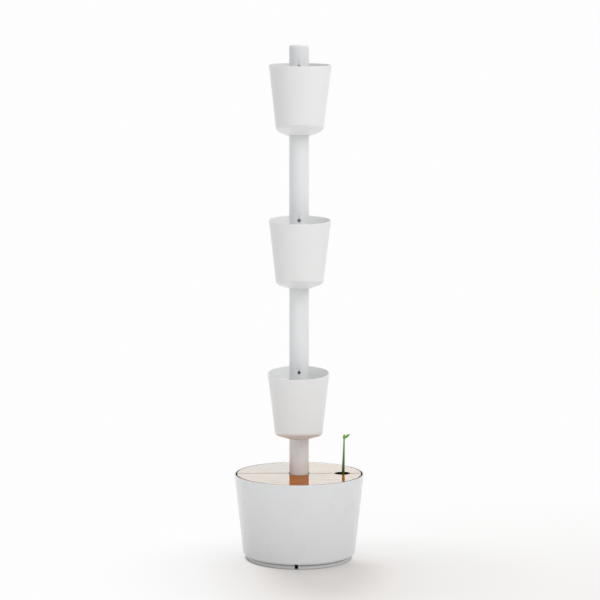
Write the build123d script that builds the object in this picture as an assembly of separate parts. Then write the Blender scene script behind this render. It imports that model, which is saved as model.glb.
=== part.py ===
from build123d import *
import math
import os

# Self-watering tower planter, in millimetres. Z is up and the floor is at zero.
# The column's axis is the Z axis, and the front of the planter faces -Y.

# Column
column_diameter = 50.0
column_wall = 2.5
column_height = 1306.0
tube_fit = 0.15                  # radial clearance of a tube in its socket
spigot_fit = 0.1                 # radial clearance of a spigot in a tube

# Pots, one above the other
levels = ("lower", "middle", "upper")
rest_turns = (-1.8, 2.6, 3.3)    # degrees that each pot stands turned about the column
lowest_junction = 306.0          # height where the lowest pot's floor meets the column
top_stretch = 229.4              # from the highest junction to the column's top
pot_rim_radius = 78.0
pot_rim_overhang = 6.0           # rim's back edge behind the column
pot_rim_rise = 176.3             # rim centre above the junction
pot_lean_angle = 6.5             # the pot's own axis leans forward by this much
pot_taper_angle = 6.5            # between the pot's wall and its own axis
pot_wall = 2.5
pot_floor_slope = 18.5           # the floor falls towards the column, in degrees
pot_corner_radius = 12.0
pot_rim_rounding = 0.8
pot_bore_gap = 0.3
pot_boss_reach = 9.0             # beyond the column
pot_boss_height = 16.0           # above the junction
swing_limit = 50.0               # degrees either way
stop_slack = 1.5                 # degrees left at each end of the stop's slot

# Couplers between the tubes, which also carry the pots
coupler_wall = 4.4
coupler_spigot_length = 30.0
coupler_flange_reach = 3.0       # beyond the column
coupler_flange_thickness = 3.0
coupler_flange_gap = 0.3
stop_lug_reach = 3.0             # beyond the flange
stop_lug_angle = 8.0             # half of its width, in degrees
seal_thickness = 2.0
seal_groove_fit = 0.1
seal_inset = 8.0                 # from the flange to a seal

# Strainer round the column on each pot's boss, and the drain holes behind it
strainer_gap = 0.4
strainer_wall = 1.8
strainer_height = 14.0
strainer_slots = 16
strainer_slot_width = 2.4
strainer_slot_margin = 2.5
drain_hole_radius = 3.0
drain_holes = 4
drain_first_angle = 45.0

# Drip outlets
outlet_drop = 2.5                # below the pot's rim centre
outlet_radius = 3.2
outlet_fit = 0.1
outlet_flange_radius = 3.8
outlet_flange_thickness = 1.0
outlet_spout_radius = 2.4
outlet_spout_length = 3.0
outlet_jet_radius = 1.2
outlet_depth = 10.0              # behind the tube's outer face
slit_width = 1.2
slit_length = 13.0

# Hose and its fittings
hose_radius = 4.0
hose_bore_radius = 2.5
hose_bend_radius = 35.0
hose_straight = 27.0             # from the pump's outlet to the first bend
hose_window_width = 14.0
hose_window_below = 9.0
hose_window_above = 12.0
hose_window_rounding = 3.5
tee_body_radius = 4.6
tee_body_height = 14.0
tee_bore_radius = 1.5
tee_neck_radius = 3.0
tee_spigot_radius = 2.2
tee_spigot_length = 6.0
barb_length = 11.0
clamp_thickness = 0.8
clamp_width = 6.0

# Cap on top of the column
cap_height = 12.0
cap_edge_radius = 6.0
cap_dome_rise = 2.0
cap_wall = 2.5
cap_spigot_length = 16.0

# Water tub
tub_height = 217.0
tub_rim_radius = 165.5
tub_taper_angle = 6.0
tub_wall = 3.0
tub_floor = 3.0
tub_corner_radius = 8.0
tub_inner_corner_radius = 5.0
rim_lip = 3.0
rim_rounding = 0.8
ledge_width = 8.0
ledge_thickness = 4.0

# Foot ring and its fixings
foot_height = 10.0
foot_set_back = 9.25             # inside the lower edge of the tub
foot_wall = 3.0
foot_flange_width = 16.0
foot_flange_thickness = 3.0
pad_radius = 5.0
pad_thickness = 1.5
pad_proud = 0.5
pads = 6
ring_screws = 4
ring_screw_radius = 2.0
ring_screw_head_radius = 3.8
ring_screw_head_height = 2.0
ring_screw_inset = 9.0           # from the ring's outer face
ring_screw_first_angle = 45.0
ring_pillar_radius = 6.5
ring_boss_radius = 5.5
ring_boss_height = 9.0
ring_screw_bite = 7.0            # length of thread inside the tub's boss
notch_offset = -6.7
notch_width = 9.0
notch_height = 13.5
notch_wall = 3.0
grommet_inset = 1.5
grommet_wall = 1.4

# Cable gland in the tub's floor
gland_x = -34.0
gland_y = -84.0
gland_radius = 9.0
gland_height = 12.0
gland_shank_radius = 6.0
gland_bore_radius = 2.6
gland_nut_thickness = 5.0
gland_dome_radius = 6.5
gland_dome_height = 5.0

# Socket that holds the column in the tub
socket_flange_reach = 21.0       # beyond the column
socket_flange_thickness = 5.0
socket_wall = 4.0
socket_height = 60.0
socket_screws = 4
socket_screw_first_angle = 45.0
socket_screw_inset = 8.0         # from the flange's edge
socket_screw_radius = 2.5
socket_screw_head_radius = 4.5
socket_screw_head_height = 3.0
socket_boss_radius = 6.5
socket_boss_height = 5.0         # below the tub's floor
socket_screw_bite = 6.0          # length of thread below the socket's flange
return_slots = 4
return_slot_width = 10.0
return_slot_height = 20.0
return_slot_rise = 5.0           # above the flange

# Lid, in two halves
lid_thickness = 9.0
lid_drop = 0.2                   # below the tub's rim
lid_edge_gap = 2.2
lid_split_gap = 1.2
lid_column_gap = 2.0
lid_edge_rounding = 0.8
gauge_hole_shift = 2.5           # the hole's centre inside the rod's
gauge_hole_radius = 19.5

# Water gauge: a float, its rod and a sprout-shaped pointer
gauge_inset = 52.5               # the rod inside the tub's rim
guide_radius = 21.0
guide_wall = 2.0
guide_height = 150.0
guide_foot_radius = 23.0
guide_foot_thickness = 2.5
guide_slots = 6
guide_slot_first_angle = 30.0
guide_slot_width = 7.0
guide_slot_margin = 12.0
guide_rib_gap = 0.3
guide_rib_wall = 2.0
guide_rib_height = 7.0
guide_cap_thickness = 3.0
guide_cap_skirt = 8.0
guide_cap_wall = 1.6
rod_guide_gap = 0.5
float_gap = 2.0
float_height = 40.0
float_headroom = 25.5            # over the float, in the guide
float_edge_radius = 4.0
rod_radius = 4.0
rod_depth = 25.0                 # inside the float
sprout_socket_rise = 8.0         # top of the rod below the lid's face
sprout_height = 102.2            # above the lid's face
sprout_tip_radius = 1.9
sprout_lean = 2.3
leaf_length = 18.5
leaf_width = 6.6
leaf_thickness = 3.4
leaf_tilt_angle = 51.0           # from upright
leaf_drop = 12.0                 # root of the side leaf below the pointer's top

# Pump on the tub's floor
pump_inset = 69.5                # the pump's middle inside the tub's rim
pump_length = 46.0
pump_width = 40.0
pump_height = 44.0
pump_rounding = 5.0
cup_radius = 8.0
cup_height = 7.0
cup_neck_radius = 3.0
cup_neck_height = 3.0
cup_inset = 11.0
chamber_radius = 14.0
chamber_depth = 12.0
chamber_rise = 24.0
magnet_radius = 7.0
magnet_length = 16.0
magnet_gap = 0.8
impeller_radius = 12.0
impeller_hub_radius = 4.0
impeller_blade_thickness = 1.6
impeller_blade_height = 7.0
impeller_back_thickness = 1.6
impeller_end_gap = 1.0
impeller_blades = 6
shaft_radius = 1.2
shaft_gap = 0.08
shaft_seat = 3.0
cover_thickness = 4.0
cover_margin = 3.0
cover_slots = 5
cover_slot_width = 2.4
cover_slot_pitch = 5.2
cover_slot_height = 22.0
outlet_pipe_radius = 4.6
outlet_pipe_height = 8.0
pump_gland_radius = 5.0
pump_gland_length = 8.0
pump_gland_rise = 30.0
pump_gland_seat = 3.0

cross_width_share = 0.12         # half-width of a screw's cross slot over its head's radius
cross_length_share = 0.62
overrun = 2.0                    # what a cut runs past the face that it opens

# Worked out from the sizes above
column_radius = column_diameter / 2
tube_bore_radius = column_radius - column_wall
coupler_bore_radius = tube_bore_radius - spigot_fit - coupler_wall
coupler_flange_radius = column_radius + coupler_flange_reach
pot_boss_radius = column_radius + pot_boss_reach
pot_rim_forward = pot_rim_radius - column_radius - pot_rim_overhang
outlet_rise = pot_rim_rise - outlet_drop
slope = math.tan(math.radians(pot_floor_slope))
lean = math.radians(pot_lean_angle)
pot_taper = math.tan(math.radians(pot_taper_angle))
tub_taper = math.tan(math.radians(tub_taper_angle))
pot_pitch = (column_height - top_stretch - lowest_junction) / (len(levels) - 1)
junctions = [lowest_junction + i * pot_pitch for i in range(len(levels))]
flange_lift = (coupler_flange_radius + coupler_flange_gap - column_radius) * slope
flange_tops = [z + flange_lift + coupler_flange_thickness for z in junctions]
cap_seat = column_height - cap_height
foot_radius = tub_rim_radius - (tub_height - foot_height) * tub_taper - foot_set_back
ring_screw_circle = foot_radius - ring_screw_inset
tub_floor_top = foot_height + tub_floor
lid_top = tub_height - lid_drop
lid_bottom = lid_top - lid_thickness
recess_radius = tub_rim_radius - rim_lip
lid_radius = recess_radius - lid_edge_gap
socket_flange_radius = column_radius + socket_flange_reach
socket_screw_circle = socket_flange_radius - socket_screw_inset
socket_top = tub_floor_top + socket_flange_thickness
socket_outer_radius = column_radius + tube_fit + socket_wall
strainer_radius = column_radius + strainer_gap + strainer_wall
gauge_offset = tub_rim_radius - gauge_inset
gauge_hole_offset = gauge_offset - gauge_hole_shift
guide_floor = tub_floor_top + guide_foot_thickness
guide_top = tub_floor_top + guide_height
float_bottom = guide_top - float_headroom - float_height
float_radius = guide_radius - guide_wall - float_gap
pump_x = -(tub_rim_radius - pump_inset)
pump_bottom = tub_floor_top + cup_height + cup_neck_height
pump_top = pump_bottom + pump_height
hose_start = pump_top + outlet_pipe_height
hose_run_height = hose_start + hose_straight + hose_bend_radius


def disc(radius, low, high):
    """Upright cylinder on the Z axis between two heights."""
    return Pos(0, 0, low) * Cylinder(radius, high - low, align=(Align.CENTER, Align.CENTER, Align.MIN))


def ring(outer, inner, low, high):
    """Upright tube on the Z axis between two heights."""
    return disc(outer, low, high) - disc(inner, low, high)


def turned(points):
    """Solid turned about the Z axis from an outline of (radius, height) points."""
    outline = Polyline(*[(r, 0, z) for r, z in points], close=True)
    return revolve(make_face(outline), Axis.Z, 360)


def block(x_low, x_high, y_low, y_high, z_low, z_high):
    """Box between two corners."""
    size = (x_high - x_low, y_high - y_low, z_high - z_low)
    return Pos(x_low, y_low, z_low) * Box(*size, align=(Align.MIN, Align.MIN, Align.MIN))


def rod_along(start, end, radius):
    """Round bar from one point to another."""
    start, end = Vector(*start), Vector(*end)
    plane = Plane(origin=start, z_dir=end - start)
    return plane * Cylinder(radius, (end - start).length, align=(Align.CENTER, Align.CENTER, Align.MIN))


def around(count, first_angle=0.0):
    """Angles of evenly spaced places round a circle."""
    return [first_angle + 360.0 * i / count for i in range(count)]


def sector(outer, inner, half_angle, low, high):
    """Piece of a ring that faces the front, given by half of its angle."""
    span = math.radians(half_angle)
    reach = outer / math.cos(span / 2)
    corners = [(0, 0)]
    for share in (-1.0, -0.5, 0.0, 0.5, 1.0):
        angle = share * span
        corners.append((reach * math.sin(angle), -reach * math.cos(angle)))
    wedge = extrude(make_face(Polyline(*corners, close=True)), high - low)
    return ring(outer, inner, low, high) & (Pos(0, 0, low) * wedge)


def taper_radius(z):
    """Outer radius of the tub's wall at a height."""
    return tub_rim_radius - (tub_height - z) * tub_taper


def round_longest_edge(solid, radius, low, high):
    """Round the longest level edge whose centre lies between two heights."""
    edges = [e for e in solid.edges() if low <= e.center().Z <= high and e.bounding_box().size.Z < overrun]
    return fillet(sorted(edges, key=lambda e: e.length)[-1:], radius)


def pot_form(inset):
    """Leaning tapered cup over the sloped floor, drawn in by inset on every face."""
    length = pot_rim_rise + pot_rim_radius
    wall_inset = inset / math.cos(math.radians(pot_taper_angle))
    top = pot_rim_radius - wall_inset
    cup = Cone(top - length * pot_taper, top, length, align=(Align.CENTER, Align.CENTER, Align.MAX))
    if inset > 0:
        cup = cup + Cone(top, top + inset * pot_taper, inset, align=(Align.CENTER, Align.CENTER, Align.MIN))
    plane = Plane(
        origin=(0, -pot_rim_forward, pot_rim_rise),
        x_dir=(1, 0, 0),
        z_dir=(0, -math.sin(lean), math.cos(lean)),
    )
    floor_apex = inset / math.cos(math.radians(pot_floor_slope)) - column_radius * slope
    reach = 2 * pot_rim_radius
    ceiling = pot_rim_rise + pot_rim_radius
    above = turned([(0, floor_apex), (reach, floor_apex + reach * slope), (reach, ceiling), (0, ceiling)])
    body = (plane * cup) & above
    crease = [e for e in body.edges() if e.geom_type != GeomType.LINE and e.center().Z < pot_rim_rise / 2]
    return fillet(crease, pot_corner_radius - inset)


def pot(turn):
    """Pot with the boss that turns on the column and the recess that hides the coupler's flange."""
    outer = pot_form(0)
    shell = outer - pot_form(pot_wall)
    boss = disc(pot_boss_radius, -pot_wall, pot_boss_height) & outer
    recess_top = flange_lift + coupler_flange_thickness
    slot_reach = coupler_flange_radius + stop_lug_reach + coupler_flange_gap
    slot_angle = swing_limit + stop_lug_angle + stop_slack
    body = shell + boss
    body = body - disc(column_radius + pot_bore_gap, -pot_boss_height, pot_boss_height + overrun)
    body = body - disc(coupler_flange_radius + coupler_flange_gap, -pot_boss_height, recess_top)
    body = body - sector(slot_reach, column_radius, slot_angle, -overrun, recess_top)
    rim = [e for e in body.edges() if e.center().Z > pot_rim_rise - overrun and e.length > pot_rim_radius]
    body = fillet(rim, pot_rim_rounding)
    return Rot(0, 0, turn) * body


def strainer():
    """Slotted ring on the pot's boss, which keeps soil out of the drain holes."""
    low, high = pot_boss_height, pot_boss_height + strainer_height
    body = ring(strainer_radius, column_radius + strainer_gap, low, high)
    for angle in around(strainer_slots):
        slot = block(
            0, strainer_radius + overrun,
            -strainer_slot_width / 2, strainer_slot_width / 2,
            low + strainer_slot_margin, high - strainer_slot_margin,
        )
        body = body - Rot(0, 0, angle) * slot
    return body


def coupler():
    """Two spigots and a flange with a stop lug, from the junction's height."""
    spigot = tube_bore_radius - spigot_fit
    low, high = flange_lift, flange_lift + coupler_flange_thickness
    body = ring(coupler_flange_radius, coupler_bore_radius, low, high)
    body = body + ring(spigot, coupler_bore_radius, low - coupler_spigot_length, high + coupler_spigot_length)
    lug_reach = coupler_flange_radius + stop_lug_reach
    body = body + sector(lug_reach, tube_bore_radius, stop_lug_angle, low, high)
    groove_radius = tube_bore_radius - seal_thickness - seal_groove_fit
    for z in seal_heights():
        half = seal_thickness / 2 + seal_groove_fit
        body = body - ring(spigot + overrun, groove_radius, z - half, z + half)
    return body


def seal_heights():
    """Heights of a coupler's two seals above the junction."""
    return (flange_lift - seal_inset, flange_lift + coupler_flange_thickness + seal_inset)


def seals():
    """Round seals in the couplers' grooves."""
    rings = []
    for junction in junctions:
        for z in seal_heights():
            minor = seal_thickness / 2
            rings.append(Pos(0, 0, junction + z) * Torus(tube_bore_radius - minor, minor))
    return rings


def outlet_cut(z):
    """Round hole with a slit above it, through the front of a tube."""
    front = -column_radius - overrun
    half = slit_width / 2
    hole = rod_along((0, 0, z), (0, front, z), outlet_radius + outlet_fit)
    return hole + block(-half, half, front, 0, z, z + outlet_radius + slit_length)


def drain_cut(z):
    """Drain holes round a tube."""
    hole = rod_along((0, 0, z), (column_radius + overrun, 0, z), drain_hole_radius)
    return [Rot(0, 0, angle) * hole for angle in around(drain_holes, drain_first_angle)]


def column_tubes():
    """Four tubes that meet on the couplers' flanges, from the tub's socket to the cap."""
    lows = [socket_top] + flange_tops
    highs = [z + flange_lift for z in junctions] + [cap_seat]
    tubes = []
    for i, (low, high) in enumerate(zip(lows, highs)):
        body = ring(column_radius, tube_bore_radius, low, high)
        if i == 0:
            body = body - hose_window() - return_cuts(tube_bore_radius - overrun, column_radius + overrun)
        else:
            body = body - outlet_cut(junctions[i - 1] + outlet_rise)
            for hole in drain_cut(junctions[i - 1] + pot_boss_height + strainer_height / 2):
                body = body - hole
        tubes.append(body)
    return tubes


def return_cuts(inner, outer):
    """Slots that let the returning water out of the column's foot into the tub."""
    low = socket_top + return_slot_rise
    cuts = []
    for angle in around(return_slots):
        half = return_slot_width / 2
        cuts.append(Rot(0, 0, angle) * block(inner, outer, -half, half, low, low + return_slot_height))
    return cuts


def hose_window():
    """Opening in the lowest tube where the hose comes in."""
    half = hose_window_width / 2
    low, high = hose_run_height - hose_window_below, hose_run_height + hose_window_above
    window = block(-column_radius - overrun, 0, -half, half, low, high)
    return fillet(window.edges().filter_by(Axis.X), hose_window_rounding)


def column_socket():
    """Flanged socket that the column stands in."""
    body = disc(socket_flange_radius, tub_floor_top, socket_top)
    body = body + ring(socket_outer_radius, column_radius + tube_fit, socket_top, socket_top + socket_height)
    body = body - return_cuts(column_radius - overrun, socket_outer_radius + overrun)
    for angle in around(socket_screws, socket_screw_first_angle):
        hole = Pos(socket_screw_circle, 0, 0) * disc(socket_screw_radius, tub_floor_top, socket_top)
        body = body - Rot(0, 0, angle) * hole
    return body


def screws(count, first_angle, circle, radius, head_radius, tip, seat, head_top):
    """Group of identical screws with round heads and a cross slot, standing upright."""
    shank = disc(radius, *sorted((tip, seat)))
    head = disc(head_radius, *sorted((seat, head_top)))
    cut_low, cut_high = sorted(((seat + head_top) / 2, head_top))
    half_width, half_length = cross_width_share * head_radius, cross_length_share * head_radius
    cross = block(-half_length, half_length, -half_width, half_width, cut_low, cut_high)
    screw = shank + head - cross - Rot(0, 0, 90) * cross
    return [Rot(0, 0, angle) * (Pos(circle, 0, 0) * screw) for angle in around(count, first_angle)]


def tub():
    """Tapered tub with a ledge for the lid, bosses, a gauge seat and the cable notch."""
    foot = taper_radius(foot_height)
    outer = turned([(0, foot_height), (foot, foot_height), (tub_rim_radius, tub_height), (0, tub_height)])
    outer = round_longest_edge(outer, tub_corner_radius, foot_height, foot_height)
    ledge_top = lid_bottom
    ledge_low = ledge_top - ledge_thickness
    ledge_inner = recess_radius - ledge_width
    floor_edge = taper_radius(tub_floor_top) - tub_wall
    under = taper_radius(ledge_low) - tub_wall
    hollow = turned([(0, tub_floor_top), (floor_edge, tub_floor_top), (under, ledge_low), (0, ledge_low)])
    hollow = round_longest_edge(hollow, tub_inner_corner_radius, tub_floor_top, tub_floor_top)
    hollow = hollow + disc(ledge_inner, ledge_low, ledge_top)
    hollow = hollow + disc(recess_radius, ledge_top, tub_height + overrun)
    body = outer - hollow
    body = body + notch_housing(outer)
    for angle in around(socket_screws, socket_screw_first_angle):
        low = foot_height - socket_boss_height
        boss = Pos(socket_screw_circle, 0, 0) * disc(socket_boss_radius, low, foot_height)
        body = body + Rot(0, 0, angle) * boss
    for angle in around(ring_screws, ring_screw_first_angle):
        top = tub_floor_top + ring_boss_height
        boss = Pos(ring_screw_circle, 0, 0) * disc(ring_boss_radius, tub_floor_top, top)
        body = body + Rot(0, 0, angle) * boss
    rib_inner = guide_foot_radius + guide_rib_gap
    rib = ring(rib_inner + guide_rib_wall, rib_inner, tub_floor_top, tub_floor_top + guide_rib_height)
    body = body + Pos(gauge_offset, 0, 0) * rib
    screw_tip = socket_top - socket_screw_bite - socket_flange_thickness
    for angle in around(socket_screws, socket_screw_first_angle):
        hole = disc(socket_screw_radius, screw_tip, tub_floor_top)
        body = body - Rot(0, 0, angle) * (Pos(socket_screw_circle, 0, 0) * hole)
    for angle in around(ring_screws, ring_screw_first_angle):
        hole = disc(ring_screw_radius, foot_height, foot_height + ring_screw_bite)
        body = body - Rot(0, 0, angle) * (Pos(ring_screw_circle, 0, 0) * hole)
    body = body - Pos(gland_x, gland_y, 0) * disc(gland_shank_radius, foot_height, tub_floor_top)
    body = body - notch_cut()
    rim = [e for e in body.edges() if abs(e.center().Z - tub_height) < rim_rounding]
    return fillet(rim, rim_rounding)


def notch_housing(outer):
    """Thick place in the tub's foot that holds the cable notch."""
    half = notch_width / 2 + notch_wall
    left, right = notch_offset - half, notch_offset + half
    low_y, high_y = -tub_rim_radius, -(foot_radius - foot_wall - notch_wall)
    return block(left, right, low_y, high_y, foot_height, notch_height + notch_wall) & outer


def notch_cut():
    """Cable notch through the foot ring and the foot of the tub's wall."""
    left, right = notch_offset - notch_width / 2, notch_offset + notch_width / 2
    reach = taper_radius(notch_height) + overrun
    wall_inner = foot_radius - foot_wall
    flange_inner = foot_radius - foot_flange_width - overrun
    cut = block(left, right, -reach, -wall_inner, 0, notch_height)
    return cut + block(left, right, -wall_inner, -flange_inner, 0, foot_height)


def notch_grommet():
    """Rubber lining of the cable notch, open at the front and at the back."""
    half = notch_width / 2
    front = -foot_radius + grommet_inset
    middle = -(foot_radius - foot_wall)
    back = -(foot_radius - foot_flange_width)
    left, right = notch_offset - half, notch_offset + half
    body = block(left, right, front, middle, pad_proud, notch_height)
    body = body + block(left, right, middle, back, pad_proud, foot_height)
    low, high = pad_proud + grommet_wall, foot_height - grommet_wall
    return body - block(left + grommet_wall, right - grommet_wall, front, back, low, high)


def foot_ring():
    """Ring that the tub stands on, with a flange for the pads and pillars for the screws."""
    inner = foot_radius - foot_wall
    flange_inner = foot_radius - foot_flange_width
    body = ring(foot_radius, inner, pad_proud, foot_height)
    body = body + ring(foot_radius, flange_inner, pad_proud, pad_proud + foot_flange_thickness)
    for angle in around(ring_screws, ring_screw_first_angle):
        pillar = Pos(ring_screw_circle, 0, 0) * disc(ring_pillar_radius, pad_proud, foot_height)
        body = body + Rot(0, 0, angle) * pillar
    head_top = pad_proud + ring_screw_head_height + pad_proud
    for angle in around(ring_screws, ring_screw_first_angle):
        hole = disc(ring_screw_radius, pad_proud, foot_height)
        hole = hole + disc(ring_screw_head_radius, pad_proud, head_top)
        body = body - Rot(0, 0, angle) * (Pos(ring_screw_circle, 0, 0) * hole)
    for place in pad_places():
        body = body - place * disc(pad_radius, pad_proud, pad_thickness)
    return body - notch_cut()


def pad_places():
    """Places of the pads, between the pillars and clear of the notch."""
    circle = foot_radius - foot_flange_width / 2
    return [Rot(0, 0, angle) * Pos(circle, 0, 0) for angle in around(pads)]


def foot_pads():
    """Rubber pads let into the foot ring."""
    return [place * disc(pad_radius, 0, pad_thickness) for place in pad_places()]


def ring_screw_group():
    """Screws that hold the foot ring, put in from below."""
    seat = pad_proud + ring_screw_head_height + pad_proud
    return screws(
        ring_screws, ring_screw_first_angle, ring_screw_circle, ring_screw_radius,
        ring_screw_head_radius, foot_height + ring_screw_bite, seat, seat - ring_screw_head_height,
    )


def socket_screw_group():
    """Screws that hold the column's socket, put in from above."""
    return screws(
        socket_screws, socket_screw_first_angle, socket_screw_circle, socket_screw_radius,
        socket_screw_head_radius, socket_top - socket_screw_bite - socket_flange_thickness,
        socket_top, socket_top + socket_screw_head_height,
    )


def hexagon(radius, low, high):
    """Upright hexagonal bar, given by the radius over its corners."""
    return Pos(0, 0, low) * extrude(RegularPolygon(radius, 6), high - low)


def cable_gland():
    """Sealed gland in the tub's floor, without its cable."""
    low = foot_height - gland_nut_thickness
    body = hexagon(gland_radius, tub_floor_top, tub_floor_top + gland_height - gland_dome_height)
    dome_low = tub_floor_top + gland_height - gland_dome_height
    dome = disc(gland_dome_radius, dome_low, tub_floor_top + gland_height)
    top = tub_floor_top + gland_height
    dome = round_longest_edge(dome, gland_dome_height / 2, top, top)
    body = body + dome + disc(gland_shank_radius, low, tub_floor_top)
    body = body - disc(gland_bore_radius, low, tub_floor_top + gland_height)
    return Pos(gland_x, gland_y, 0) * body


def gland_nut():
    """Nut that clamps the gland from below."""
    low = foot_height - gland_nut_thickness
    nut = hexagon(gland_radius, low, foot_height) - disc(gland_shank_radius, low, foot_height)
    return Pos(gland_x, gland_y, 0) * nut


def lid_half(side):
    """Half of the round lid, on the front (-1) or back (1) side of the split."""
    body = disc(lid_radius, lid_bottom, lid_top)
    body = body - disc(column_radius + lid_column_gap, lid_bottom, lid_top)
    body = body - Pos(gauge_hole_offset, 0, 0) * disc(gauge_hole_radius, lid_bottom, lid_top)
    edge = side * lid_split_gap / 2
    reach = lid_radius + overrun
    keep = block(-reach, reach, min(edge, side * reach), max(edge, side * reach), lid_bottom, lid_top)
    body = body & keep
    faces = body.faces().sort_by(Axis.Z)
    return fillet(faces[-1].edges(), lid_edge_rounding)


def gauge_guide():
    """Slotted cage that keeps the float upright."""
    body = ring(guide_radius, guide_radius - guide_wall, tub_floor_top, guide_top)
    body = body + disc(guide_foot_radius, tub_floor_top, guide_floor)
    low = guide_floor + guide_slot_margin
    high = guide_top - guide_cap_skirt - guide_slot_margin
    for angle in around(guide_slots, guide_slot_first_angle):
        half = guide_slot_width / 2
        body = body - Rot(0, 0, angle) * block(float_radius, guide_radius + overrun, -half, half, low, high)
    return Pos(gauge_offset, 0, 0) * body


def gauge_guide_cap():
    """Cap of the cage with the hole that the rod slides in."""
    outer = guide_radius + guide_cap_wall
    body = disc(outer, guide_top - guide_cap_skirt, guide_top + guide_cap_thickness)
    body = body - disc(guide_radius, guide_top - guide_cap_skirt, guide_top)
    body = body - disc(rod_radius + rod_guide_gap, guide_top, guide_top + guide_cap_thickness)
    return Pos(gauge_offset, 0, 0) * body


def gauge_float():
    """Hollow-moulded float, shown as one closed body with the rod's socket."""
    body = disc(float_radius, float_bottom, float_bottom + float_height)
    ends = body.faces().filter_by(Axis.Z).edges()
    body = fillet(ends, float_edge_radius)
    top = float_bottom + float_height
    body = body - disc(rod_radius, top - rod_depth, top)
    return Pos(gauge_offset, 0, 0) * body


def gauge_rod():
    """Rod from the float up to the pointer's socket."""
    low = float_bottom + float_height - rod_depth
    high = lid_top - sprout_socket_rise
    return Pos(gauge_offset, 0, 0) * disc(rod_radius, low, high)


def leaf():
    """Flat pointed leaf along Z from its root at zero, made as a squashed spindle."""
    half = leaf_width / 2
    outline = ThreePointArc((0, 0, 0), (half, 0, leaf_length / 2), (0, 0, leaf_length))
    face = make_face(Curve() + [outline, Line((0, 0, leaf_length), (0, 0, 0))])
    return scale(revolve(face, Axis.Z, 360), by=(1, leaf_thickness / leaf_width, 1))


def sprout():
    """Pointer in the shape of a seedling: a tapering stem, its tip leaf and a side leaf."""
    low = lid_top - sprout_socket_rise
    top = lid_top + sprout_height
    root = top - leaf_drop
    sections = [
        Pos(0, 0, low) * Circle(rod_radius),
        Pos(0, 0, lid_top) * Circle(rod_radius),
        Pos(sprout_lean, 0, root) * Circle(sprout_tip_radius),
    ]
    stem = loft(sections[:2]) + loft(sections[1:])
    stem = stem + Pos(sprout_lean, 0, root) * Sphere(sprout_tip_radius)
    tip_leaf = Pos(sprout_lean, 0, top - leaf_length) * leaf()
    side_leaf = Pos(sprout_lean, 0, root) * Rot(0, leaf_tilt_angle, 0) * leaf()
    return Pos(gauge_offset, 0, 0) * (stem + tip_leaf + side_leaf)


def top_cap():
    """Domed cap with a spigot inside the topmost tube."""
    edge_top = column_height - cap_dome_rise
    dome_radius = (column_radius ** 2 + cap_dome_rise ** 2) / (2 * cap_dome_rise)
    dome = Pos(0, 0, column_height - dome_radius) * Sphere(dome_radius)
    body = disc(column_radius, cap_seat, column_height) & dome
    body = round_longest_edge(body, cap_edge_radius, edge_top - overrun, column_height)
    spigot = tube_bore_radius - spigot_fit
    body = body + disc(spigot, cap_seat - cap_spigot_length, cap_seat)
    inner = spigot - cap_wall
    body = body - disc(inner, cap_seat - cap_spigot_length, cap_seat)
    return body


def hose(points, radius):
    """Hose along straight runs joined by arcs, hollow from end to end."""
    path = FilletPolyline(*points, radius=radius)
    plane = Plane(origin=path @ 0, z_dir=path % 0)
    outer = sweep(plane * Circle(hose_radius), path=path)
    inner = sweep(plane * Circle(hose_bore_radius), path=path)
    return outer - inner


def riser_hoses():
    """Three lengths of hose: pump to lowest tee, and then tee to tee."""
    half = tee_body_height / 2
    outlets = [z + outlet_rise for z in junctions]
    corners = [
        (pump_x, 0, hose_start), (pump_x, 0, hose_run_height),
        (0, 0, hose_run_height), (0, 0, outlets[0] - half),
    ]
    hoses = [hose(corners, hose_bend_radius)]
    for low, high in zip(outlets[:-1], outlets[1:]):
        hoses.append(ring(hose_radius, hose_bore_radius, low + half, high - half))
    return hoses


def hose_tee(z, has_top):
    """Fitting with barbs for the hose and a branch to the drip outlet."""
    half = tee_body_height / 2
    branch_end = -(column_radius - outlet_depth) - tee_spigot_length
    barb_top = z + half + (barb_length if has_top else 0)
    body = disc(tee_body_radius, z - half, z + half)
    body = body + disc(hose_bore_radius, z - half - barb_length, barb_top)
    body = body + rod_along((0, 0, z), (0, branch_end + tee_spigot_length, z), tee_neck_radius)
    body = body + rod_along((0, 0, z), (0, branch_end, z), tee_spigot_radius)
    bore_top = barb_top if has_top else z
    body = body - disc(tee_bore_radius, z - half - barb_length, bore_top)
    return body - rod_along((0, 0, z), (0, branch_end, z), tee_bore_radius)


def drip_outlet(z):
    """Nozzle through the front of the column with a short spout."""
    back = -(column_radius - outlet_depth)
    face = -column_radius - outlet_flange_thickness
    tip = face - outlet_spout_length
    body = rod_along((0, back, z), (0, -column_radius, z), outlet_radius)
    body = body + rod_along((0, -column_radius, z), (0, face, z), outlet_flange_radius)
    body = body + rod_along((0, face, z), (0, tip, z), outlet_spout_radius)
    body = body - rod_along((0, back, z), (0, back - tee_spigot_length, z), tee_spigot_radius)
    return body - rod_along((0, back, z), (0, tip, z), outlet_jet_radius)


def pump_place():
    """Place of the pump, whose own frame has its chamber facing the front."""
    return Pos(pump_x, 0, pump_bottom)


def pump_bore(front, back, radius):
    """Round bar on the impeller's axis in the pump's own frame."""
    return rod_along((0, front, chamber_rise), (0, back, chamber_rise), radius)


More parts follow.
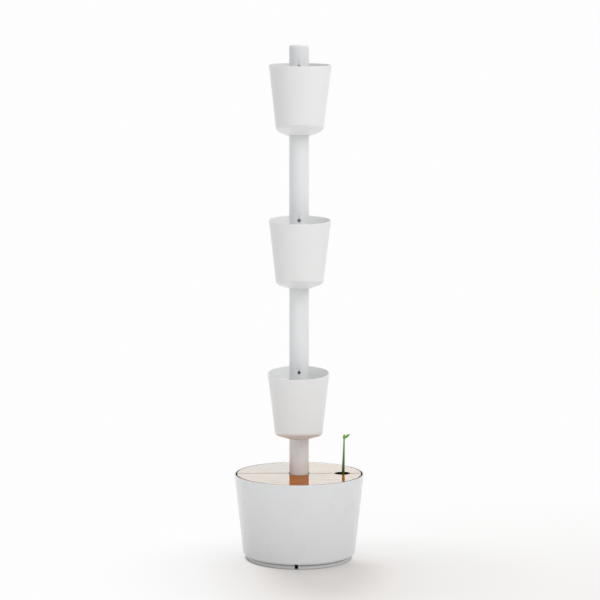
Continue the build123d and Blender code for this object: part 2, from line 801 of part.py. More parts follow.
def pump_body():
    """Housing with the impeller's chamber, the magnet's bore and the outlet pipe."""
    half_length, half_width = pump_length / 2, pump_width / 2
    body = block(-half_length, half_length, -half_width, half_width, 0, pump_height)
    body = fillet(body.edges().filter_by(Axis.Z), pump_rounding)
    barb = disc(outlet_pipe_radius, 0, outlet_pipe_height)
    barb = barb + disc(hose_bore_radius, 0, outlet_pipe_height + barb_length)
    body = body + Pos(0, 0, pump_height) * barb
    chamber_back = -half_width + chamber_depth
    bore_back = chamber_back + magnet_length + magnet_gap
    body = body - pump_bore(-half_width, chamber_back, chamber_radius)
    body = body - pump_bore(chamber_back, bore_back, magnet_radius + magnet_gap)
    body = body - pump_bore(bore_back, bore_back + shaft_seat, shaft_radius)
    outlet_y = -half_width + chamber_depth / 2
    return pump_place() * (body - pump_water_way(outlet_y))


def pump_water_way(outlet_y):
    """Way from the chamber to the outlet pipe."""
    radius = tee_bore_radius
    turn_z = pump_height - cover_margin
    channel = rod_along((0, outlet_y, chamber_rise), (0, outlet_y, turn_z), radius)
    across = rod_along((0, outlet_y - radius, turn_z), (0, radius, turn_z), radius)
    up = disc(radius, turn_z, pump_height + outlet_pipe_height + barb_length)
    return channel + across + up


def pump_cover():
    """Slotted intake cover over the impeller's chamber."""
    half_length = pump_length / 2 - cover_margin
    back = -pump_width / 2
    front = back - cover_thickness
    body = block(-half_length, half_length, front, back, cover_margin, pump_height - cover_margin)
    body = fillet(body.edges().filter_by(Axis.Y), cover_margin)
    half = cover_slot_width / 2
    low, high = chamber_rise - cover_slot_height / 2, chamber_rise + cover_slot_height / 2
    for i in range(cover_slots):
        x = (i - (cover_slots - 1) / 2) * cover_slot_pitch
        if x != 0:  # the shaft's seat is in the middle
            body = body - block(x - half, x + half, front, back, low, high)
    return pump_place() * (body - pump_bore(back - shaft_seat, back, shaft_radius))


def impeller():
    """Magnet rotor with a back plate and straight blades."""
    chamber_back = -pump_width / 2 + chamber_depth
    plate_back = chamber_back - impeller_end_gap
    plate_front = plate_back - impeller_back_thickness
    front = plate_front - impeller_blade_height
    body = rod_along((0, plate_back, 0), (0, plate_front, 0), impeller_radius)
    body = body + rod_along((0, plate_front, 0), (0, front, 0), impeller_hub_radius)
    body = body + rod_along((0, plate_back, 0), (0, chamber_back + magnet_length, 0), magnet_radius)
    half = impeller_blade_thickness / 2
    for angle in around(impeller_blades):
        blade = block(0, impeller_radius - impeller_end_gap, front, plate_front, -half, half)
        body = body + Rot(0, angle, 0) * blade
    bore = rod_along((0, front, 0), (0, chamber_back + magnet_length, 0), shaft_radius + shaft_gap)
    return pump_place() * (Pos(0, 0, chamber_rise) * (body - bore))


def impeller_shaft():
    """Fixed pin that the impeller turns on."""
    front = -pump_width / 2 - shaft_seat
    back = -pump_width / 2 + chamber_depth + magnet_length + magnet_gap + shaft_seat
    return pump_place() * pump_bore(front, back, shaft_radius)


def suction_cups():
    """Rubber cups under the pump, each a neck over a flared skirt."""
    cups = []
    align = (Align.CENTER, Align.CENTER, Align.MIN)
    skirt = Pos(0, 0, tub_floor_top) * Cone(cup_radius, cup_neck_radius, cup_height, align=align)
    cup = skirt + disc(cup_neck_radius, tub_floor_top + cup_height, pump_bottom)
    for x in (-1, 1):
        for y in (-1, 1):
            spread_x, spread_y = pump_length / 2 - cup_inset, pump_width / 2 - cup_inset
            cups.append(Pos(pump_x + x * spread_x, y * spread_y, 0) * cup)
    return cups


def pump_gland():
    """Strain relief at the back of the pump, without its cable."""
    back = pump_width / 2
    mouth = back + pump_gland_length
    seat = mouth - pump_gland_seat
    body = rod_along((0, back, pump_gland_rise), (0, mouth, pump_gland_rise), pump_gland_radius)
    body = body - rod_along((0, seat, pump_gland_rise), (0, mouth, pump_gland_rise), gland_bore_radius)
    return pump_place() * body


def hose_clamp():
    """Clip round the hose on the pump's outlet."""
    low = hose_start + clamp_width / 2
    return Pos(pump_x, 0, 0) * ring(hose_radius + clamp_thickness, hose_radius, low, low + clamp_width)


def save(name, shape):
    """Write one piece, or a group of identical pieces, under its own name."""
    solids = []
    for item in shape if isinstance(shape, list) else [shape]:
        solids.extend(item.solids())
    piece = solids[0] if len(solids) == 1 else Compound(children=solids)
    export_step(piece, os.path.join("parts", name + ".step"))


def main():
    os.makedirs("parts", exist_ok=True)
    save("tub", tub())
    save("foot_ring", foot_ring())
    save("foot_pads", foot_pads())
    save("foot_ring_screws", ring_screw_group())
    save("cable_notch_grommet", notch_grommet())
    save("cable_gland", cable_gland())
    save("cable_gland_nut", gland_nut())
    save("column_socket", column_socket())
    save("column_socket_screws", socket_screw_group())
    for name, tube in zip(("base",) + levels, column_tubes()):
        save("column_tube_" + name, tube)
    save("column_seals", seals())
    for level, junction, turn in zip(levels, junctions, rest_turns):
        outlet = junction + outlet_rise
        save("pot_" + level, Pos(0, 0, junction) * pot(turn))
        save("drain_strainer_" + level, Pos(0, 0, junction) * (Rot(0, 0, turn) * strainer()))
        save("coupler_" + level, Pos(0, 0, junction) * coupler())
        save("hose_tee_" + level, hose_tee(outlet, level != levels[-1]))
        save("drip_outlet_" + level, drip_outlet(outlet))
    for level, length in zip(levels, riser_hoses()):
        save("riser_hose_" + level, length)
    save("top_cap", top_cap())
    save("lid_front", lid_half(-1))
    save("lid_back", lid_half(1))
    save("gauge_guide", gauge_guide())
    save("gauge_guide_cap", gauge_guide_cap())
    save("gauge_float", gauge_float())
    save("gauge_rod", gauge_rod())
    save("gauge_sprout", sprout())
    save("pump_body", pump_body())
    save("pump_cover", pump_cover())
    save("pump_impeller", impeller())
    save("pump_impeller_shaft", impeller_shaft())
    save("pump_suction_cups", suction_cups())
    save("pump_cable_gland", pump_gland())
    save("pump_hose_clamp", hose_clamp())


main()
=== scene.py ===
import math

import bmesh
import bpy
import numpy as np
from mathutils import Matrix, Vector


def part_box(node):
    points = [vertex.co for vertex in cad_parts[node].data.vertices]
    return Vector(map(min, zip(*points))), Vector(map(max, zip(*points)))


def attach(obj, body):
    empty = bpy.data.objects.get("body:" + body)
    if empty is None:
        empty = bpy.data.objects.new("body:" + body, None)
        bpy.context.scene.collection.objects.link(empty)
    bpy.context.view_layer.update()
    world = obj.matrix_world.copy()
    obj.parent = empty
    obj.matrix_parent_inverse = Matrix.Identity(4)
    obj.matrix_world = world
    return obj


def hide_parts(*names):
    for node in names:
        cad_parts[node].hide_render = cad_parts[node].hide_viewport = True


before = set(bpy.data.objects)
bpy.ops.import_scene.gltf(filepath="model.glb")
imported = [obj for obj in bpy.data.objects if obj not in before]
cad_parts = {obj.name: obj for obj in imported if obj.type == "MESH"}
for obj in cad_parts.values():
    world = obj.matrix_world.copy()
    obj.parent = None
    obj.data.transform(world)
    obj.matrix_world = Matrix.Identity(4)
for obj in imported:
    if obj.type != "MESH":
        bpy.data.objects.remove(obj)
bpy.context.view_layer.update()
print("frame loaded:", len(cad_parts), "pieces of the model")

# corners and sizes of the model's pieces that the looks and the new piece are measured from
lidLow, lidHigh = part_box("lid_front")
lidRadius = lidHigh.x
potLow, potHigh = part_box("pot_middle")
sproutLow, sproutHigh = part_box("gauge_sprout")
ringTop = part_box("foot_ring")[1].z
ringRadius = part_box("foot_ring")[1].x
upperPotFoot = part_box("pot_upper")[0].z


# a new object in the scene
def addObject(name, data):
    made = bpy.data.objects.new(name, data)
    bpy.context.scene.collection.objects.link(made)
    return made


# a surface from a grid of points, rows by columns: each quad joins four neighbours, and the last
# column joins the first
def skin(name, grid):
    rows, columns = grid.shape[:2]
    row = np.arange(rows - 1)[:, None] * columns
    left = np.arange(columns)[None, :]
    right = (left + 1) % columns
    corners = [row + left, row + right, row + columns + right, row + columns + left]
    quads = np.stack(corners, axis=-1).reshape(-1, 4)
    mesh = bpy.data.meshes.new(name)
    mesh.from_pydata(grid.reshape(-1, 3).tolist(), [], quads.tolist())
    return mesh


# several meshes put into one: doubles are merged, slivers dissolved, faces turned outwards, and
# only edges sharper than the angle, in degrees, stay crisp
def joined(name, meshes, mergeAt, sharpAngle):
    work = bmesh.new()
    for mesh in meshes:
        work.from_mesh(mesh)
        bpy.data.meshes.remove(mesh)
    bmesh.ops.remove_doubles(work, verts=work.verts, dist=mergeAt)
    bmesh.ops.dissolve_degenerate(work, edges=work.edges, dist=mergeAt)
    bmesh.ops.recalc_face_normals(work, faces=work.faces)
    made = bpy.data.meshes.new(name)
    work.to_mesh(made)
    work.free()
    made.shade_smooth()
    made.set_sharp_from_angle(angle=math.radians(sharpAngle))
    return made


noiseRange = (0.3, 0.7)  # most values of a noise lie in here


# wraps a socket, so that sums, products and masks of it add their own nodes
class Wire:
    def __init__(self, sheet, socket):
        self.sheet = sheet
        self.socket = socket

    def maths(self, operation, *values):
        made = self.sheet.node("ShaderNodeMath", {"operation": operation}, dict(enumerate(values)))
        return made.out(0)

    def __add__(self, other):
        return self.maths("ADD", self, other)

    def __radd__(self, other):
        return self.maths("ADD", other, self)

    def __sub__(self, other):
        return self.maths("SUBTRACT", self, other)

    def __rsub__(self, other):
        return self.maths("SUBTRACT", other, self)

    def __mul__(self, other):
        return self.maths("MULTIPLY", self, other)

    def __rmul__(self, other):
        return self.maths("MULTIPLY", other, self)

    def __pow__(self, other):
        return self.maths("POWER", self, other)

    def __rpow__(self, other):
        return self.maths("POWER", other, self)

    def __abs__(self):
        return self.maths("ABSOLUTE", self)

    def sine(self):
        return self.maths("SINE", self)

    # the higher of the two
    def above(self, other):
        return self.maths("MAXIMUM", self, other)

    # the lower of the two
    def below(self, other):
        return self.maths("MINIMUM", self, other)

    # moved smoothly from one range to another, and held at its ends
    def span(self, low, high, outLow, outHigh):
        sockets = {"Value": self, "From Min": low, "From Max": high, "To Min": outLow, "To Max": outHigh}
        made = self.sheet.node("ShaderNodeMapRange", {"interpolation_type": "SMOOTHSTEP"}, sockets)
        return made.out(0)

    def rise(self, low, high):
        return self.span(low, high, 0.0, 1.0)

    def fall(self, low, high):
        return self.span(low, high, 1.0, 0.0)

    # a noise, moved from its usual range to this one
    def between(self, low, high):
        return self.span(*noiseRange, low, high)


# a node whose outputs come back as wires
class Step:
    def __init__(self, sheet, made):
        self.sheet = sheet
        self.made = made

    def out(self, key):
        return Wire(self.sheet, self.made.outputs[key])


# the nodes of one material or world
class Sheet:
    def __init__(self, owner):
        owner.use_nodes = True
        self.owner = owner
        self.tree = owner.node_tree
        self.tree.nodes.clear()

    # settings are set first, and then each socket gets its value or its link
    def node(self, kind, settings=None, sockets=None):
        made = self.tree.nodes.new(kind)
        for key, value in (settings or {}).items():
            setattr(made, key, value)
        for key, value in (sockets or {}).items():
            if isinstance(value, Wire):
                self.tree.links.new(value.socket, made.inputs[key])
            else:
                made.inputs[key].default_value = value
        return Step(self, made)

    # Object coordinates, stretched by a Mapping node: a large number crowds a pattern along its axis
    def place(self, stretch=(1, 1, 1)):
        coordinates = self.node("ShaderNodeTexCoord").out("Object")
        return self.node("ShaderNodeMapping", {}, {"Vector": coordinates, "Scale": stretch}).out(0)

    # x, y and z of a vector
    def parts(self, vector):
        split = self.node("ShaderNodeSeparateXYZ", {}, {0: vector})
        return [split.out(axis) for axis in "XYZ"]

    def noise(self, scale=1.0, stretch=(1, 1, 1), detail=2.0, roughness=0.5):
        where = self.place(stretch)
        sockets = {"Vector": where, "Scale": scale, "Detail": detail, "Roughness": roughness}
        return self.node("ShaderNodeTexNoise", {}, sockets).out(0)

    # two colours mixed, each of them a wire or red, green and blue
    def blend(self, share, first, second):
        first, second = (c if isinstance(c, Wire) else (*c, 1.0) for c in (first, second))
        made = self.node("ShaderNodeMix", {"data_type": "RGBA"}, {0: share, 6: first, 7: second})
        return made.out(2)

    def bump(self, height, strength, distance):
        sockets = {"Height": height, "Strength": strength, "Distance": distance}
        return self.node("ShaderNodeBump", {}, sockets).out(0)

    # 1 where the camera, a gloss or a clear piece looks, and 0 for all other light
    def seen(self):
        path = self.node("ShaderNodeLightPath")
        opaque = path.out("Is Camera Ray").above(path.out("Is Glossy Ray"))
        return opaque.above(path.out("Is Transmission Ray"))

    def finish(self, sockets):
        shader = self.node("ShaderNodeBsdfPrincipled", {}, sockets)
        self.node("ShaderNodeOutputMaterial", {}, {"Surface": shader.out(0)})
        return self.owner


# how far a point is from a centre: the root of the two squares' sum
def distance(x, y, centre=(0.0, 0.0)):
    return ((x - centre[0]) ** 2.0 + (y - centre[1]) ** 2.0) ** 0.5


plasticLook = {
    "cloud": {"scale": 7.0, "detail": 3.0},
    "flow": {"stretch": (60, 60, 3)},
    "peel": {"scale": 420.0},
    "cloudShare": 0.6, "flowShare": 0.4, "tintSpan": (0.15, 0.85),
    "smoother": 0.012, "rougher": 0.018, "peelRough": 0.03, "recessRough": 0.4,
    "flowHeight": 0.15, "bumpDistance": 0.0002,
    "innerEdge": 0.0005, "outerEdge": 0.0003, "lowEdge": 0.001, "highEdge": 0.0006,
    "inwardSpan": (-0.02, -0.005),
}


# 1 between two radii and between two heights, with narrow soft edges
def recessMask(sheet, inner, outer, low, high):
    p = plasticLook
    x, y, z = sheet.parts(sheet.place())
    radius = distance(x, y)
    ring = radius.rise(inner, inner + p["innerEdge"]) * radius.fall(outer, outer + p["outerEdge"])
    return ring * z.rise(low, low + p["lowEdge"]) * z.fall(high - p["highEdge"], high)


# 1 on faces that look towards a pot's middle line, where the normal times the way out from it is
# below zero; the mask fades to 0 up to the top height
def hollowMask(sheet, centre, top, fade):
    x, y, z = sheet.parts(sheet.place())
    facingX, facingY = sheet.parts(sheet.node("ShaderNodeTexCoord").out("Normal"))[:2]
    outward = facingX * (x - centre[0]) + facingY * (y - centre[1])
    return outward.fall(*plasticLook["inwardSpan"]) * z.fall(top - fade, top)


# moulded plastic: the tint follows a broad cloud and faint flow lines, the roughness the cloud and
# a fine orange peel, and the peel and the lines raise the skin; a recess, where little light gets
# in, is painted darker as painted shade and made dull, and the hollow side of a pot is painted a
# brighter white up to a height, painted light that stands in for light bounced inside
def mouldedPlastic(name, base, shade, roughness, coat, peel, recess=None, hollow=None):
    p = plasticLook
    sheet = Sheet(bpy.data.materials.new(name))
    cloud, flow, fine = (sheet.noise(**p[key]) for key in ("cloud", "flow", "peel"))
    tint = (cloud * p["cloudShare"] + flow * p["flowShare"]).rise(*p["tintSpan"])
    face = sheet.blend(tint, shade, base)
    rough = cloud.between(roughness - p["smoother"], roughness + p["rougher"])
    rough = rough + (fine - 0.5) * p["peelRough"]
    gloss = coat
    if recess:
        within = recessMask(sheet, *recess["radii"], *recess["heights"])
        face = sheet.blend(within, face, recess["dark"])
        rough = rough + within * p["recessRough"]
        gloss = (1.0 - within) * coat
    if hollow:
        within = hollowMask(sheet, hollow["centre"], hollow["top"], hollow["fade"])
        face = sheet.blend(within, face, hollow["paintedBounceWhite"])
    return sheet.finish({
        "Base Color": face,
        "Roughness": rough,
        "Specular IOR Level": 0.35,
        "Coat Weight": gloss,
        "Coat Roughness": 0.12,
        "Normal": sheet.bump(fine + flow * p["flowHeight"], peel, p["bumpDistance"]),
    })


plastics = {
    "pot": {
        "name": "potWhite", "base": (0.83, 0.83, 0.83), "shade": (0.815, 0.815, 0.815),
        "roughness": 0.34, "coat": 0.2, "peel": 0.08,
        # painted light: a whiter hollow stands in for light bounced inside; from the foot of the upper
        # pot on, the hollows are bright enough without it
        "hollow": {"centre": (0.0, (potLow.y + potHigh.y) / 2), "top": upperPotFoot, "fade": 0.1,
                   "paintedBounceWhite": (0.96, 0.96, 0.96)},
    },
    "tub": {
        "name": "tubWhite", "base": (0.81, 0.82, 0.835), "shade": (0.80, 0.81, 0.825),
        "roughness": 0.27, "coat": 0.45, "peel": 0.08,
        # the lid's seat, from under its edge to the wall round it, painted near black: painted shade of
        # the gap
        "recess": {"radii": (lidRadius - 0.0023, lidRadius + 0.0022),
                   "heights": (lidLow.z - 0.0048, lidHigh.z - 0.0012), "dark": (0.012, 0.010, 0.008)},
    },
    "column": {
        "name": "columnWhite", "base": (0.80, 0.815, 0.82), "shade": (0.785, 0.80, 0.81),
        "roughness": 0.32, "coat": 0.25, "peel": 0.08,
    },
    "inner": {
        "name": "innerWhite", "base": (0.72, 0.72, 0.71), "shade": (0.69, 0.69, 0.68),
        "roughness": 0.48, "coat": 0.0, "peel": 0.2,
    },
    "ring": {
        "name": "ringGrey", "base": (0.80, 0.80, 0.80), "shade": (0.77, 0.77, 0.77),
        "roughness": 0.45, "coat": 0.0, "peel": 0.2,
        # the uppermost 3 mm, close under the tub, painted darker: painted shade under the tub's overhang
        "recess": {"radii": (0.1, 0.2), "heights": (ringTop - 0.003, ringTop + 0.02),
                   "dark": (0.25, 0.25, 0.255)},
    },
    "black": {
        "name": "blackPlastic", "base": (0.008, 0.008, 0.009), "shade": (0.012, 0.012, 0.013),
        "roughness": 0.5, "coat": 0.0, "peel": 0.2,
    },
    "grey": {
        "name": "greyPlastic", "base": (0.42, 0.42, 0.43), "shade": (0.38, 0.38, 0.39),
        "roughness": 0.5, "coat": 0.0, "peel": 0.2,
    },
}

plywoodLook = {
    "wander": {"stretch": (2, 9, 9)},
    "figure": {"stretch": (7, 130, 60), "detail": 5.0, "roughness": 0.62},
    "pores": {"stretch": (55, 1500, 400)},
    "wanderShare": 0.35, "streakSpan": (0.52, 0.86), "poreSpan": (0.60, 0.72), "poreShare": 0.3,
    "light": (0.47, 0.160, 0.026), "dark": (0.36, 0.104, 0.013), "pore": (0.12, 0.035, 0.008),
    "plyPitch": 0.003, "plySpan": (-0.35, 0.35),
    "plyDark": (0.022, 0.012, 0.007), "plyLight": (0.05, 0.028, 0.014),
    # splitSpan and rimSpan mark bands of the flat face that take the dark edge colour: painted shade of
    # the gaps
    "flatSpan": (0.6, 0.9), "splitSpan": (0.0018, 0.0022),
    "rimSpan": (lidRadius - 0.0007, lidRadius - 0.0002), "rimStretch": 1.006,
    "roughness": (0.34, 0.46), "gloss": 0.28, "figureHeight": 0.6, "poreDepth": 0.5,
}


# lacquered plywood: the flat faces have a long grain along X, streaked where two noises add up,
# with fine dark pores and a clear gloss; the edges show dark dull plies, a sine of the height, and a
# narrow band of the flat face along the split and another round the rim take the same dark plies as
# painted shade of the gaps there
def lacqueredPlywood(name):
    p = plywoodLook
    sheet = Sheet(bpy.data.materials.new(name))
    wander, figure, pores = (sheet.noise(**p[key]) for key in ("wander", "figure", "pores"))
    streak = (figure + wander * p["wanderShare"]).rise(*p["streakSpan"])
    pore = pores.rise(*p["poreSpan"])
    face = sheet.blend(streak, p["light"], p["dark"])
    face = sheet.blend(pore * p["poreShare"], face, p["pore"])
    along, across, height = sheet.parts(sheet.place())
    plies = (height * (2 * math.pi / p["plyPitch"])).sine()
    edge = sheet.blend(plies.rise(*p["plySpan"]), p["plyDark"], p["plyLight"])
    upward = sheet.parts(sheet.node("ShaderNodeNewGeometry").out("Normal"))[2]
    flat = abs(upward).rise(*p["flatSpan"]) * abs(across).rise(*p["splitSpan"])
    flat = flat * distance(along * p["rimStretch"], across).fall(*p["rimSpan"])
    relief = figure * p["figureHeight"] - pore * p["poreDepth"]
    return sheet.finish({
        "Base Color": sheet.blend(flat, edge, face),
        "Roughness": figure.between(*p["roughness"]),
        "Specular IOR Level": 0.0,
        "Coat Weight": flat * p["gloss"],
        "Coat Roughness": 0.05,
        "Normal": sheet.bump(relief, strength=0.10, distance=0.0002),
    })


rubberLook = {
    "dust": {"scale": 38.0, "detail": 4.0}, "dustSpan": (0.45, 0.75, 0.0, 0.35),
    "grain": {"scale": 900.0},
    "base": (0.022, 0.022, 0.023), "dusty": (0.09, 0.088, 0.085), "roughness": (0.62, 0.78),
}


# rubber: matt, paler where a noise lays some dust, with a fine grain
def mouldedRubber(name):
    p = rubberLook
    sheet = Sheet(bpy.data.materials.new(name))
    dust = sheet.noise(**p["dust"]).span(*p["dustSpan"])
    grain = sheet.noise(**p["grain"])
    return sheet.finish({
        "Base Color": sheet.blend(dust, p["base"], p["dusty"]),
        "Roughness": grain.between(*p["roughness"]),
        "Normal": sheet.bump(grain, strength=0.2, distance=0.0002),
    })


steelLook = {
    "scratch": {"stretch": (900, 120, 120), "detail": 3.0},
    "patch": {"scale": 90.0, "detail": 3.0},
    "dark": (0.50, 0.50, 0.51), "light": (0.66, 0.66, 0.67), "roughness": (0.22, 0.42),
}


# plated steel: short scratches in the roughness and the relief, and small patches in the tone
def platedSteel(name):
    p = steelLook
    sheet = Sheet(bpy.data.materials.new(name))
    scratch, patch = (sheet.noise(**p[key]) for key in ("scratch", "patch"))
    return sheet.finish({
        "Base Color": sheet.blend(patch, p["dark"], p["light"]),
        "Metallic": 1.0,
        "Roughness": scratch.between(*p["roughness"]),
        "Normal": sheet.bump(scratch, strength=0.08, distance=0.0001),
    })


hoseLook = {
    "haze": {"scale": 60.0, "detail": 3.0},
    "dark": (0.66, 0.68, 0.66), "light": (0.80, 0.81, 0.79), "roughness": (0.24, 0.36),
}


# milky hose: soft plastic that lets some light through, with a haze in tone, sheen and relief
def milkyHose(name):
    p = hoseLook
    sheet = Sheet(bpy.data.materials.new(name))
    haze = sheet.noise(**p["haze"])
    return sheet.finish({
        "Base Color": sheet.blend(haze, p["dark"], p["light"]),
        "Roughness": haze.between(*p["roughness"]),
        "Transmission Weight": 0.35,
        "IOR": 1.45,
        "Normal": sheet.bump(haze, strength=0.05, distance=0.0002),
    })


finishes = {key: mouldedPlastic(**look) for key, look in plastics.items()}
finishes["wood"] = lacqueredPlywood("lacqueredPlywood")
finishes["rubber"] = mouldedRubber("blackRubber")
finishes["steel"] = platedSteel("platedSteel")
finishes["hose"] = milkyHose("milkyHose")
print("finishes made:", len(finishes))

# the finish of each node, by the start of its name
nodeFinishes = {
    "pot_": "pot", "tub": "tub", "column_tube": "column", "top_cap": "column", "foot_ring": "ring",
    # the upper drip outlet takes a mid grey where the other outlets are black: painted light, a paler
    # copy of the same outlet
    "lid_": "wood", "riser_hose": "hose", "drip_outlet": "black", "drip_outlet_upper": "grey",
    "drain_strainer": "black", "cable_gland": "black", "pump_": "black",
    "column_socket": "inner", "coupler": "inner", "hose_tee": "inner", "gauge_": "inner",
    "foot_pads": "rubber", "cable_notch_grommet": "rubber", "column_seals": "rubber",
    "pump_suction_cups": "rubber", "foot_ring_screws": "steel", "column_socket_screws": "steel",
    "pump_hose_clamp": "steel", "pump_impeller_shaft": "steel",
}


# each node takes the finish of the longest name that it starts with
def dressNodes():
    for name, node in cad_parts.items():
        key = max((k for k in nodeFinishes if name.startswith(k)), key=len)
        node.data.materials.clear()
        node.data.materials.append(finishes[nodeFinishes[key]])


dressNodes()
print("model's pieces dressed")

# the water gauge's pointer, a seedling; leafDrop is how far under the top the side leaf has its root
sproutShape = {
    "footRadius": 0.004, "tipRadius": 0.0019, "taperPower": 0.85, "lean": 0.0023,
    "leafLength": 0.0185, "leafWidth": 0.0066, "leafThickness": 0.0034, "leafTilt": 51.0,
    "leafDrop": 0.012, "widthPower": 0.75, "thickPower": 0.6, "grooveDepth": 0.28, "grooveWidth": 0.22,
    "buriedRows": 4, "stemRows": 26, "domeRows": 6, "stemSides": 28, "leafRows": 26, "leafSides": 32,
    "mergeAt": 1e-6, "sharpAngle": 50,
}

sproutLook = {
    "mottle": {"stretch": (300, 300, 90), "detail": 3.0}, "mottleShare": 0.25,
    "foot": (0.004, 0.075, 0.001), "top": (0.15, 0.42, 0.010), "mottled": (0.05, 0.26, 0.004),
    "roughness": (0.24, 0.36),
}


# seedling green: dark at the foot and lighter with the height, mottled, with a glossy skin
def sproutGreen(name):
    p = sproutLook
    sheet = Sheet(bpy.data.materials.new(name))
    height = sheet.parts(sheet.place())[2]
    mottle = sheet.noise(**p["mottle"])
    base = sheet.blend(height.rise(sproutLow.z, sproutHigh.z), p["foot"], p["top"])
    return sheet.finish({
        "Base Color": sheet.blend(mottle * p["mottleShare"], base, p["mottled"]),
        "Roughness": mottle.between(*p["roughness"]),
        "Coat Weight": 0.3,
        "Coat Roughness": 0.1,
        "Normal": sheet.bump(mottle, strength=0.12, distance=0.0003),
    })


stemX = sproutLow.x + sproutShape["footRadius"]


# the angles of a full turn, as a row of the grid
def roundTurn(sides):
    return np.linspace(0, 2 * math.pi, sides, endpoint=False)[None, :]


# stem: a round section carried up from the rod's top to the side leaf's root; over the lid's face it
# leans by the share of its height, and its radius goes from foot to tip by a power of that share; a
# quarter circle, sine up and cosine out, closes the top in a dome
def stemMesh():
    s = sproutShape
    low, face, root = sproutLow.z, lidHigh.z, sproutHigh.z - s["leafDrop"]
    buried = np.linspace(low, face, s["buriedRows"])
    z = np.concatenate([[low], buried, np.linspace(face, root, s["stemRows"])[1:]])
    share = np.clip((z - face) / (root - face), 0, 1)
    radius = s["footRadius"] + (s["tipRadius"] - s["footRadius"]) * share ** s["taperPower"]
    radius[0] = 0
    dome = np.linspace(0, math.pi / 2, s["domeRows"] + 1)[1:]
    z = np.concatenate([z, root + s["tipRadius"] * np.sin(dome)])[:, None]
    radius = np.concatenate([radius, s["tipRadius"] * np.cos(dome)])[:, None]
    share = np.concatenate([share, np.ones(s["domeRows"])])[:, None]
    angle = roundTurn(s["stemSides"])
    x = stemX + s["lean"] * share + radius * np.cos(angle)
    return skin("stem", np.stack([x, radius * np.sin(angle), z + 0 * angle], -1))


# leaf: its half width and half thickness are powers of the sine of pi times the share of its
# length, so it is pointed at both ends; the section is an oval, and a bell curve of its width
# thins it along the middle line to a groove on both faces; the leaf is then tilted about its root
def leafMesh(root, tilt):
    s = sproutShape
    along = np.linspace(0, 1, s["leafRows"])[:, None]
    angle = roundTurn(s["leafSides"])
    width = s["leafWidth"] / 2 * np.sin(math.pi * along) ** s["widthPower"]
    thick = s["leafThickness"] / 2 * np.sin(math.pi * along) ** s["thickPower"]
    groove = 1 - s["grooveDepth"] * np.exp(-(np.cos(angle) / s["grooveWidth"]) ** 2)
    x = width * np.cos(angle)
    y = thick * np.sin(angle) * groove
    z = along * s["leafLength"] + 0 * angle
    a = math.radians(tilt)
    turnedX = x * math.cos(a) + z * math.sin(a)
    turnedZ = z * math.cos(a) - x * math.sin(a)
    return skin("leaf", np.stack([root[0] + turnedX, y, root[1] + turnedZ], -1))


def buildSprout():
    s = sproutShape
    tip = stemX + s["lean"]
    topLeaf = leafMesh((tip, sproutHigh.z - s["leafLength"]), 0.0)
    sideLeaf = leafMesh((tip, sproutHigh.z - s["leafDrop"]), s["leafTilt"])
    mesh = joined("sproutPointer", [stemMesh(), topLeaf, sideLeaf], s["mergeAt"], s["sharpAngle"])
    mesh.materials.append(sproutGreen("sproutGreen"))
    made = addObject("sproutPointer", mesh)
    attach(made, "gauge")
    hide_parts("gauge_sprout")


buildSprout()
print("sprout made")

# a span holds two distances, and one of four numbers also the two amounts that they stand for
floorLook = {
    # near: a darker matt tone round the planter, painted shade
    "half": 9.0, "near": (0.46, 0.445, 0.435), "far": (0.86, 0.855, 0.85),
    "toneCentre": (0.16, -0.10), "toneSpan": (0.22, 0.85), "toneGrain": 0.02,
    "grain": {"scale": 240.0, "detail": 3.0},
    "ovalCentre": (0.06, -0.12), "ahead": 0.45, "behind": 1.6,
    "nearFade": (0.06, 0.2, 0.34, 0.8), "farFade": (0.25, 0.7, 0.0, 0.2),
    "contactCentre": (-0.0015, -0.0045), "contactSpan": (ringRadius - 0.004, ringRadius + 0.007),
    # glowNear and glowRight: greyer glow near the planter and to the right front, painted shadow
    "glowNear": (0.88, 0.845, 0.825), "glowLeft": (0.985, 0.985, 0.985),
    "glowRight": (0.915, 0.905, 0.895), "glowSpan": (0.10, 0.34),
    "rightSpan": (-0.3, 0.7), "frontSpan": (-0.5, 0.9),
}


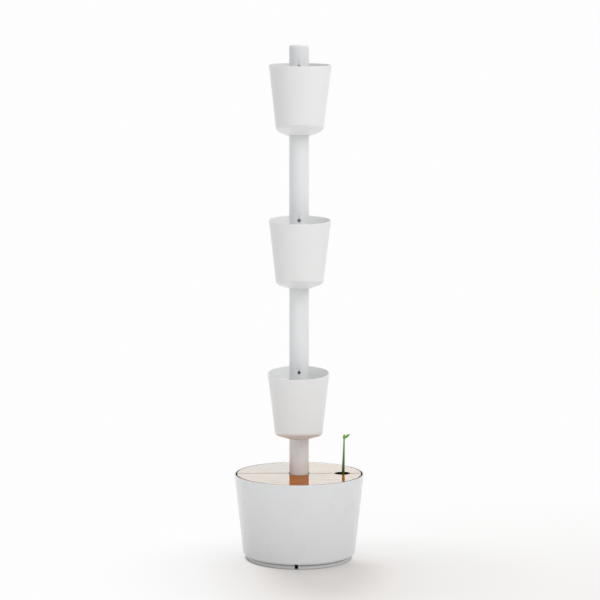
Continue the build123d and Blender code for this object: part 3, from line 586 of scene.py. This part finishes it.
# the floor is matt and painted darker close to the planter, painted shade for the bounce round it;
# what the camera or a gloss sees of it fades to a glowing white over an oval that reaches further in
# front than behind, the glow painted greyer near the planter and towards the right front as painted
# shadow, but under the foot ring and close round it the matt floor shows
def buildFloor():
    p = floorLook
    h = p["half"]
    mesh = bpy.data.meshes.new("floor")
    mesh.from_pydata([(-h, -h, 0), (h, -h, 0), (h, h, 0), (-h, h, 0)], [], [(0, 1, 2, 3)])
    sheet = Sheet(bpy.data.materials.new("paleFloor"))
    x, y, _ = sheet.parts(sheet.place())
    along = y - p["ovalCentre"][1]
    stretched = along.below(0.0) * p["ahead"] + along.above(0.0) * p["behind"]
    oval = distance(x - p["ovalCentre"][0], stretched)
    fade = oval.span(*p["nearFade"]) + oval.span(*p["farFade"])
    contact = distance(x, y, p["contactCentre"]).rise(*p["contactSpan"])
    side = x.rise(*p["rightSpan"]) * y.fall(*p["frontSpan"])
    white = sheet.blend(side, p["glowLeft"], p["glowRight"])
    white = sheet.blend(oval.rise(*p["glowSpan"]), p["glowNear"], white)
    grain = sheet.noise(**p["grain"])
    away = distance(x, y, p["toneCentre"]) + (grain - 0.5) * p["toneGrain"]
    matt = sheet.node("ShaderNodeBsdfPrincipled", {}, {
        "Base Color": sheet.blend(away.rise(*p["toneSpan"]), p["near"], p["far"]),
        "Roughness": 0.6,
        "Specular IOR Level": 0.2,
    })
    glow = sheet.node("ShaderNodeEmission", {}, {"Color": white, "Strength": 1.0})
    share = fade * sheet.seen() * contact
    mixed = sheet.node("ShaderNodeMixShader", {}, {0: share, 1: matt.out(0), 2: glow.out(0)})
    sheet.node("ShaderNodeOutputMaterial", {}, {"Surface": mixed.out(0)})
    mesh.materials.append(sheet.owner)
    floor = addObject("floor", mesh)


worldLook = {"ambient": 0.597, "shown": 0.985}


# the world lights softly, and shows a plain white to the camera and to gloss
def buildWorld():
    p = worldLook
    world = bpy.data.worlds.new("studio")
    bpy.context.scene.world = world
    sheet = Sheet(world)
    strength = sheet.seen() * (p["shown"] - p["ambient"]) + p["ambient"]
    back = sheet.node("ShaderNodeBackground", {}, {"Color": (1, 1, 1, 1), "Strength": strength})
    sheet.node("ShaderNodeOutputWorld", {}, {"Surface": back.out(0)})


# a lamp lights everything, unless it names what it lights; passes names the pieces that throw no
# shadow in its light, so that the hollow of each pot stays bright beside the column
lamps = {
    "keyRight": {
        "place": (2.2, -3.4, 3.8), "aim": (0, 0, 0.7), "size": (2.4, 2.4), "watts": 81,
        "passes": ("column_tube", "top_cap", "coupler", "riser_hose", "hose_tee", "drip_outlet"),
    },
    "topSoft": {"place": (0.3, 0.2, 3.6), "aim": (0, 0, 0.3), "size": (2.6, 2.6), "watts": 20},
    "floorWash": {
        "place": (0.3, 0.2, 3.6), "aim": (0, 0, 0.3), "size": (2.6, 2.6), "watts": 63,
        "lights": ("floor",),
    },
    "lowLeft": {"place": (-1.1, -0.55, 0.12), "aim": (-0.1, 0, 0.05), "size": (0.8, 0.2), "watts": 0.5},
    "farGloss": {
        "place": (0, 20.0, 4.4), "aim": (0, 0, 0.3), "size": (12.0, 4.4), "watts": 900,
        "tint": (0.65, 0.95, 1.0), "glossOnly": True, "lights": ("lid_front", "lid_back"),
    },
}


# a lamp looks down its own -Z, which is pitched up from straight down and then turned to the aim
def aimLamp(lamp, place, aim):
    x, y, z = np.subtract(aim, place).tolist()
    lamp.location = place
    lamp.rotation_euler = (math.atan2(math.hypot(x, y), -z), 0, math.atan2(-x, y))


# a collection for a lamp to light or to pass by
def group(name, things):
    made = bpy.data.collections.new(name)
    for thing in things:
        made.objects.link(thing)
    return made


def buildLamps():
    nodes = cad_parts
    for name, s in lamps.items():
        light = bpy.data.lights.new(name, "AREA")
        light.shape = "RECTANGLE"
        light.size, light.size_y = s["size"]
        light.energy = s["watts"]
        light.color = s.get("tint", (1, 1, 1))
        lamp = addObject(name, light)
        aimLamp(lamp, s["place"], s["aim"])
        lamp.visible_camera = False
        lamp.visible_diffuse = not s.get("glossOnly", False)
        if "passes" in s:
            passed = group("passed", [node for key, node in nodes.items() if key.startswith(s["passes"])])
            for item in passed.collection_objects:
                item.light_linking.link_state = "EXCLUDE"
            lamp.light_linking.blocker_collection = passed
        if "lights" in s:
            lit = [nodes[key] if key in nodes else bpy.data.objects[key] for key in s["lights"]]
            lamp.light_linking.receiver_collection = group(name, lit)


# the photograph's own camera, as found from the mouths of the pots, the lid and the tub's foot
viewShape = {
    "place": (0.0023, -4.2337, 1.0153), "pitch": 4.765, "focalPixels": 1672.0, "imagePixels": 600,
    "sensorWidth": 36.0, "clipEnd": 60.0,
}


# the lens follows from the focal length in pixels: lens = focal * sensor width / image width
def buildCamera():
    s = viewShape
    data = bpy.data.cameras.new("camera")
    data.sensor_width = s["sensorWidth"]
    data.lens = s["focalPixels"] * s["sensorWidth"] / s["imagePixels"]
    data.clip_end = s["clipEnd"]
    camera = addObject("camera", data)
    camera.location = s["place"]
    camera.rotation_euler = (math.radians(90 - s["pitch"]), 0, 0)
    bpy.context.scene.camera = camera


buildFloor()
buildWorld()
buildLamps()
buildCamera()
bpy.context.scene.view_settings.view_transform = "Standard"
print("floor, lamps and camera set")
